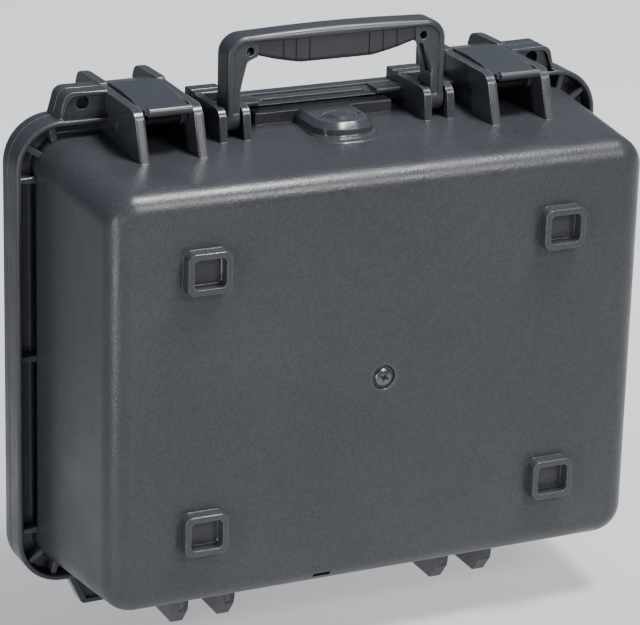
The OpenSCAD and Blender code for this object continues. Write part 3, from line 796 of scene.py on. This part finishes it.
def leg_web(side):
    """The flat web inside each leg, set back from the band, with a gusset up to the grip."""
    corners = ((72.2, 0, 0), (72.2, 42, 0), (66, 50, 0), (53, 50, 0), (54.5, 38.6, 0), (61.6, 36.2, 2.5),
               (64.8, 24, 8), (66, 18, 3), (66, 0, 0))
    outline = rounded([(side * x, HANDLE_PIN[1] + h, r) for x, h, r in corners], 6)
    return prism(outline, HANDLE_PIN[0] - 8.0, HANDLE_PIN[0] + 8.0, "d", 0.7, 3)


def build_handle():
    d, h = HANDLE_PIN
    bar = to_object("handle_bar", sweep(outer_stations(), HANDLE_T, INNER_EDGE_R), SMOOTH)
    lugs, cuts = [leg_web(1), leg_web(-1)], []
    for side in (1, -1):
        x0, x1 = span(side, 66.0, HANDLE_X)
        lug = [(8.0, x0), (8.7, x0 + 0.3), (9.0, x0 + 1.0), (9.0, x1 - 1.0), (8.7, x1 - 0.3), (8.0, x1)]
        lugs.append(turned(lug, (0, d, h), "x", 56))
        cuts.append(turned([(HANDLE_BORE_R, 0), (HANDLE_BORE_R, 26)], (side * 70 - 13, d, h), "x", 24))
        cuts.append(block(*span(side, 50.0, 71.0), d - 3.6, d + 3.0, h + 17, h + 41, 1.0))
        screw_hole = [(2.8, -1), (2.8, 9), (1.8, 10)]
        cuts.append(turned(screw_hole, (side * 59.6, d - HANDLE_T, h + 42.6), "d", 28))
    combine(bar, as_tools(lugs))
    combine(bar, as_tools(cuts), "DIFFERENCE")
    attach(bar, "handle")
    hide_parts("handle_frame")


def grip_section(x):
    """A rounded section of the grip: flat on top, bulging below."""
    drop = 16.2 - 6.4 * (max(0.0, abs(x) - 24) / 30) ** 1.2
    half = 7.6 - 0.8 * (abs(x) / 56) ** 2
    r = 3.4
    d, h = HANDLE_PIN
    top, bottom = h + LIP + 0.6, h + LIP - drop
    turn = [math.radians(90 * i / 5) for i in range(6)]
    profile = [(d - half, top)]
    profile += [(d - half + r - r * math.cos(a), bottom + r - r * math.sin(a)) for a in turn]
    profile += [(d + half - r + r * math.sin(a), bottom + r - r * math.cos(a)) for a in turn]
    return profile + [(d + half, top)]


def build_grip():
    """The over-moulded grip, with narrow grooves between its finger segments and slanted ends."""
    seams = (-37, -28.5, -19.3, 21.7, 31.4, 41.2)
    stations = [(-55.4, 1.2), (-54.9, 0.3), (-54.2, 0.0), (55.4, 1.2), (54.9, 0.3), (54.2, 0.0)]
    for x in seams:
        stations += [(x - 0.5, 0.0), (x - 0.25, 0.7), (x + 0.25, 0.7), (x + 0.5, 0.0)]
    stations += [(x, 0.0) for x in range(-52, 53, 4) if all(abs(x - seam) > 1 for seam in seams)]
    rings = []
    for x, groove in sorted(stations):
        profile = grip_section(x)
        top, low = profile[0][1], min(p[1] for p in profile)
        shrink = 1 - groove / 7.4
        slant = 0.3 * min(1.0, max(0.0, (abs(x) - 44) / 10)) * (1 if x < 0 else -1)
        rings.append([(x + slant * (top - 6 - h), HANDLE_PIN[0] + (d - HANDLE_PIN[0]) * shrink,
                       h + (groove if h < low + 2 else 0)) for d, h in profile])
    grip = to_object("finger_grip", loft(rings), GRIP, 40)
    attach(grip, "handle")
    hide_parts("handle_grip")


def build_screw():
    """Domed cross-head screw on a dished washer in the recess at the middle of the base's bottom face."""
    dome = [(2.0, 15.6), (2.0, 0.72), (5.7, 0.72), (5.8, 0.2), (5.6, -0.35), (4.9, -0.9), (3.6, -1.3),
            (1.8, -1.5), (0.3, -1.55)]
    screw = to_object("cross_head_screw", turned(dome, (0, 0, 0), "d", 64), DARK_STEEL)
    cuts = [moved(block(-3.3, 3.3, -3, -0.1, -0.62, 0.62, 0.15), (0, 0, 0),
                  Matrix.Rotation(math.radians(turn), 4, "Y")) for turn in (20, 110)]
    cuts.append(turned([(1.7, -3), (1.7, -0.6), (0.5, 0.5)], (0, 0, 0), "d", 24))
    combine(screw, as_tools(cuts), "DIFFERENCE")
    dish = [(2.2, 1.53), (7.1, 1.53), (7.2, 1.4), (7.2, 1.0), (7.0, 0.82), (6.2, 0.78), (2.2, 0.78)]
    washer = to_object("dished_washer", turned(dish, (0, 0, 0), "d", 64), VALVE)
    for piece, node in ((screw, "centre_screw"), (washer, "screw_washer")):
        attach(piece, "base")
        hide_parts(node)


# Foam ------------------------------------------------------------------------------------------
FOAM_R = 15
LIP_FLARE = 1.6
PEAK_PITCH, PEAK_DEPTH, FLAT_EDGE = 36, 15, 12
PEAK_ROWS, PEAK_COLUMNS = 112, 84


def cushion_rings(hw, hh, r, d0, d1, soft, waist):
    """Rings of a block whose edges are rounded and whose sides pull in between its ends."""
    turn = [math.radians(a) for a in (10, 35, 60, 90)]
    flat = d1 - d0 - 2 * soft
    rings = [(soft * (1 - math.sin(a)), d0 + soft * (1 - math.cos(a))) for a in turn]
    rings += [(waist * math.sin(math.pi * k / 6), d0 + soft + flat * k / 6) for k in range(1, 6)]
    rings += [(soft * (1 - math.sin(a)), d1 - soft * (1 - math.cos(a))) for a in reversed(turn)]
    return [face_ring(hw - inset, hh - inset, r, d) for inset, d in rings]


def cutter(x, h, hw, hh, r, low, high, flare):
    """A pocket cutter that opens out at its upper end, like the soft lip of cut foam."""
    steps = ((0, low), (0, high - 2 - flare * 2), (flare * 0.25, high - 2 - flare), (flare, high - 1.5),
             (flare * 2, high + 1))
    return loft([[(x + a, d, h + b) for a, b in round_rect(hw + grow, hh + grow, r + grow, 6)]
                 for grow, d in steps])


def finish_foam(piece, node, body):
    """Attaches a foam piece to its body, and hides the foam node."""
    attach(piece, body)
    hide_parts(node)


def foam_size(node):
    """A foam node's front, back, half width and half height."""
    low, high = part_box(node)
    return low.y * 1000 - FACE_Y, high.y * 1000 - FACE_Y, (high.x - low.x) * 500, (high.z - low.z) * 500


def build_foam_floor():
    d0, d1, hw, hh = foam_size("foam_floor")
    piece = to_object("foam_floor_sheet", loft(cushion_rings(hw, hh, FOAM_R, d0, d1, 1.2, 0.4)), FOAM)
    combine(piece, as_tools([turned([(9.5, -20), (9.5, 20)], (0, d0, 0), "d", 32)], FOAM), "DIFFERENCE")
    finish_foam(piece, "foam_floor", "base")


def build_foam_pad():
    d0, d1, hw, hh = foam_size("foam_pad")
    piece = to_object("foam_pad_block", loft(cushion_rings(hw, hh, FOAM_R, d0, d1, 2.0, 1.4)), FOAM)
    combine(piece, as_tools([turned([(5, -8), (5, 2.8)], (0, d0, 0), "d", 24)], FOAM), "DIFFERENCE")
    finish_foam(piece, "foam_pad", "base")


# Pockets in the insert: centre x, centre h, half width, half height, corner radius.
POCKETS = ((-62, 8, 92, 88, 22), (108, 62, 56, 42, 12), (75, -42, 14, 38, 5), (111, -42, 14, 38, 5),
           (147, -42, 14, 38, 5), (-62, -104, 60, 14, 6), (108, -102, 48, 12, 6))


def build_foam_insert():
    d0, d1, hw, hh = foam_size("foam_insert")
    piece = to_object("foam_insert_block", loft(cushion_rings(hw, hh, FOAM_R, d0, d1, 2.5, 1.6)), FOAM)
    cuts = [cutter(x, h, w - 0.5, t - 0.5, r, d0 - 3, d1, LIP_FLARE) for x, h, w, t, r in POCKETS]
    cuts.append(cutter(0, hh, 20, hh - 120, 4, d0 - 3, d1, LIP_FLARE))  # notch under the valve
    combine(piece, as_tools(cuts, FOAM), "DIFFERENCE")
    finish_foam(piece, "foam_insert", "base")


def peak_point(u, v, d0, hw, hh):
    """A point of the convoluted face, from shares across and along it. Its corners follow the round."""
    x, h = hw * (2 * u - 1), hh * (2 * v - 1)
    corner = Vector((max(abs(x) - hw + FOAM_R, 0), max(abs(h) - hh + FOAM_R, 0)))
    reach = corner.length
    if corner.x > 0 and corner.y > 0:
        corner *= max(corner) / reach
        x, h = math.copysign(hw - FOAM_R + corner.x, x), math.copysign(hh - FOAM_R + corner.y, h)
    inward = max(min(hw - abs(x), hh - abs(h), FOAM_R - corner.length if reach else FOAM_R), 0)
    fade = min(1.0, inward / FLAT_EDGE)
    peak = 0.5 + 0.5 * math.cos(math.tau * x / PEAK_PITCH) * math.cos(math.tau * h / PEAK_PITCH)
    depth = PEAK_DEPTH * fade * fade * (3 - 2 * fade) * (1 - peak ** 0.8)
    lip = 2.5 * (1 - min(1.0, inward / 3)) ** 2
    return x, d0 + depth + lip, h


def build_foam_lid():
    """Convoluted foam: rows of rounded peaks that face the insert."""
    d0, d1, hw, hh = foam_size("foam_lid")
    bm = bmesh.new()
    grid = [[bm.verts.new(peak_point(i / PEAK_ROWS, j / PEAK_COLUMNS, d0, hw, hh))
             for j in range(PEAK_COLUMNS + 1)] for i in range(PEAK_ROWS + 1)]
    for a, b in zip(grid, grid[1:]):
        for j in range(PEAK_COLUMNS):
            bm.faces.new((a[j], b[j], b[j + 1], a[j + 1]))
    rim = grid[0][:-1] + [c[-1] for c in grid[:-1]] + grid[-1][:0:-1] + [c[0] for c in grid[:0:-1]]
    for inset, d in ((0.8, d0 + 14), (1.4, (d0 + d1) / 2 + 4), (0.6, d1 - 4), (0.4, d1 - 1.2), (1.6, d1)):
        ring = [bm.verts.new((v.co.x * (1 - inset / hw), d, v.co.z * (1 - inset / hh))) for v in rim]
        for i, v in enumerate(rim):
            j = (i + 1) % len(rim)
            bm.faces.new((v, rim[j], ring[j], ring[i]))
        rim = ring
    bm.faces.new(rim)
    piece = to_object("foam_lid_pad", bm, FOAM, 50.0)
    finish_foam(piece, "foam_lid", "lid")


build_foam_floor()
build_foam_pad()
build_foam_insert()
build_foam_lid()
build_base()
build_lid()
build_screw()
build_handle()
build_grip()

# Carried-over hardware -------------------------------------------------------------------------
# The latch links take the near-black material as painted shade under the levers.
KEPT = {"hinge_pins": STEEL, "handle_pins": STEEL, "latch_pins": STEEL, "lever_pin_left": STEEL,
        "lever_pin_right": STEEL, "lid_seal": SEAL, "valve_seal": SEAL, "valve_membrane": FILM,
        "valve_body": VALVE, "valve_nut": VALVE, "valve_knob": VALVE, "foam_anchor": VALVE,
        "latch_link_left": SHADE_BLACK, "latch_link_right": SHADE_BLACK, "latch_lever_left": SMOOTH,
        "latch_lever_right": SMOOTH}
for node, material in KEPT.items():
    for material_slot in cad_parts[node].material_slots:
        material_slot.material = material


# Studio ----------------------------------------------------------------------------------------
AHEAD, ACROSS = (0.431, 0.902, 0), (0.902, -0.431, 0)  # level directions on the floor
FLOOR_HALF = 6
AIM = (0, 0, 0.2)


def make_floor():
    """A pale floor that glows a little, more with distance. The glow stops left of the case, so that
    the case's side stays dark."""
    bm = bmesh.new()
    bmesh.ops.create_grid(bm, x_segments=1, y_segments=1, size=FLOOR_HALF)
    mesh = bpy.data.meshes.new("floor")
    bm.to_mesh(mesh)
    bm.free()
    floor = bpy.data.objects.new("floor", mesh)
    bpy.context.collection.objects.link(floor)
    n = Nodes("floor_paint")
    tone = n.ramp(n.noise(3.0), ((0.3, 0.40), (0.7, 0.42)))
    depth = n.dot(n.coords, AHEAD)
    leftward = n.math("MULTIPLY", n.dot(n.coords, ACROSS), -1.0)
    spread = n.math("SUBTRACT", leftward, n.math("MULTIPLY", depth, 0.06))
    pool = n.add("ShaderNodeMapRange", {0: spread, 1: 0.26, 2: 0.55, 3: 1.0, 4: 0.0},
                 interpolation_type="SMOOTHSTEP").outputs[0]
    glow = n.add("ShaderNodeMapRange", {0: depth, 1: -0.4, 2: 0.7, 3: 0.25, 4: 0.95}).outputs[0]
    mesh.materials.append(n.set(Base_Color=tone, Roughness=0.8, Emission_Color=(0.96, 0.98, 1.0),
                                Emission_Strength=n.math("MULTIPLY", glow, pool)))


def area_light(name, place, target, size, power, colour=(1.0, 1.0, 1.0)):
    """A soft lamp that the camera doesn't see."""
    data = bpy.data.lights.new(name, "AREA")
    data.shape = "RECTANGLE"
    data.size, data.size_y = size
    data.energy = power
    data.color = colour
    light = bpy.data.objects.new(name, data)
    light.visible_camera = False
    light.location = place
    light.rotation_euler = (Vector(target) - Vector(place)).to_track_quat("-Z", "Y").to_euler()
    bpy.context.collection.objects.link(light)


make_floor()
world = bpy.data.worlds.new("studio")
bpy.context.scene.world = world
world.use_nodes = True
sky = world.node_tree.nodes["Background"].inputs
sky["Color"].default_value = (0.72, 0.85, 1.0, 1)
sky["Strength"].default_value = 0.22
area_light("overhead", (0.5, -0.45, 2.0), AIM, (0.6, 0.4), 52)
area_light("front", (1.1, -2.5, 2.1), AIM, (1.2, 0.6), 57, (1.0, 0.95, 0.9))
area_light("fill", (-1.5, -2.9, 1.0), AIM, (0.3, 0.8), 8, (1.0, 0.97, 0.94))
area_light("left_strip", (-4.4, -2.1, 0.8), AIM, (0.25, 1.4), 55)
area_light("left_card", (-0.66, -0.36, 0.12), (-0.2, -0.08, 0.2), (0.16, 0.26), 1.0)
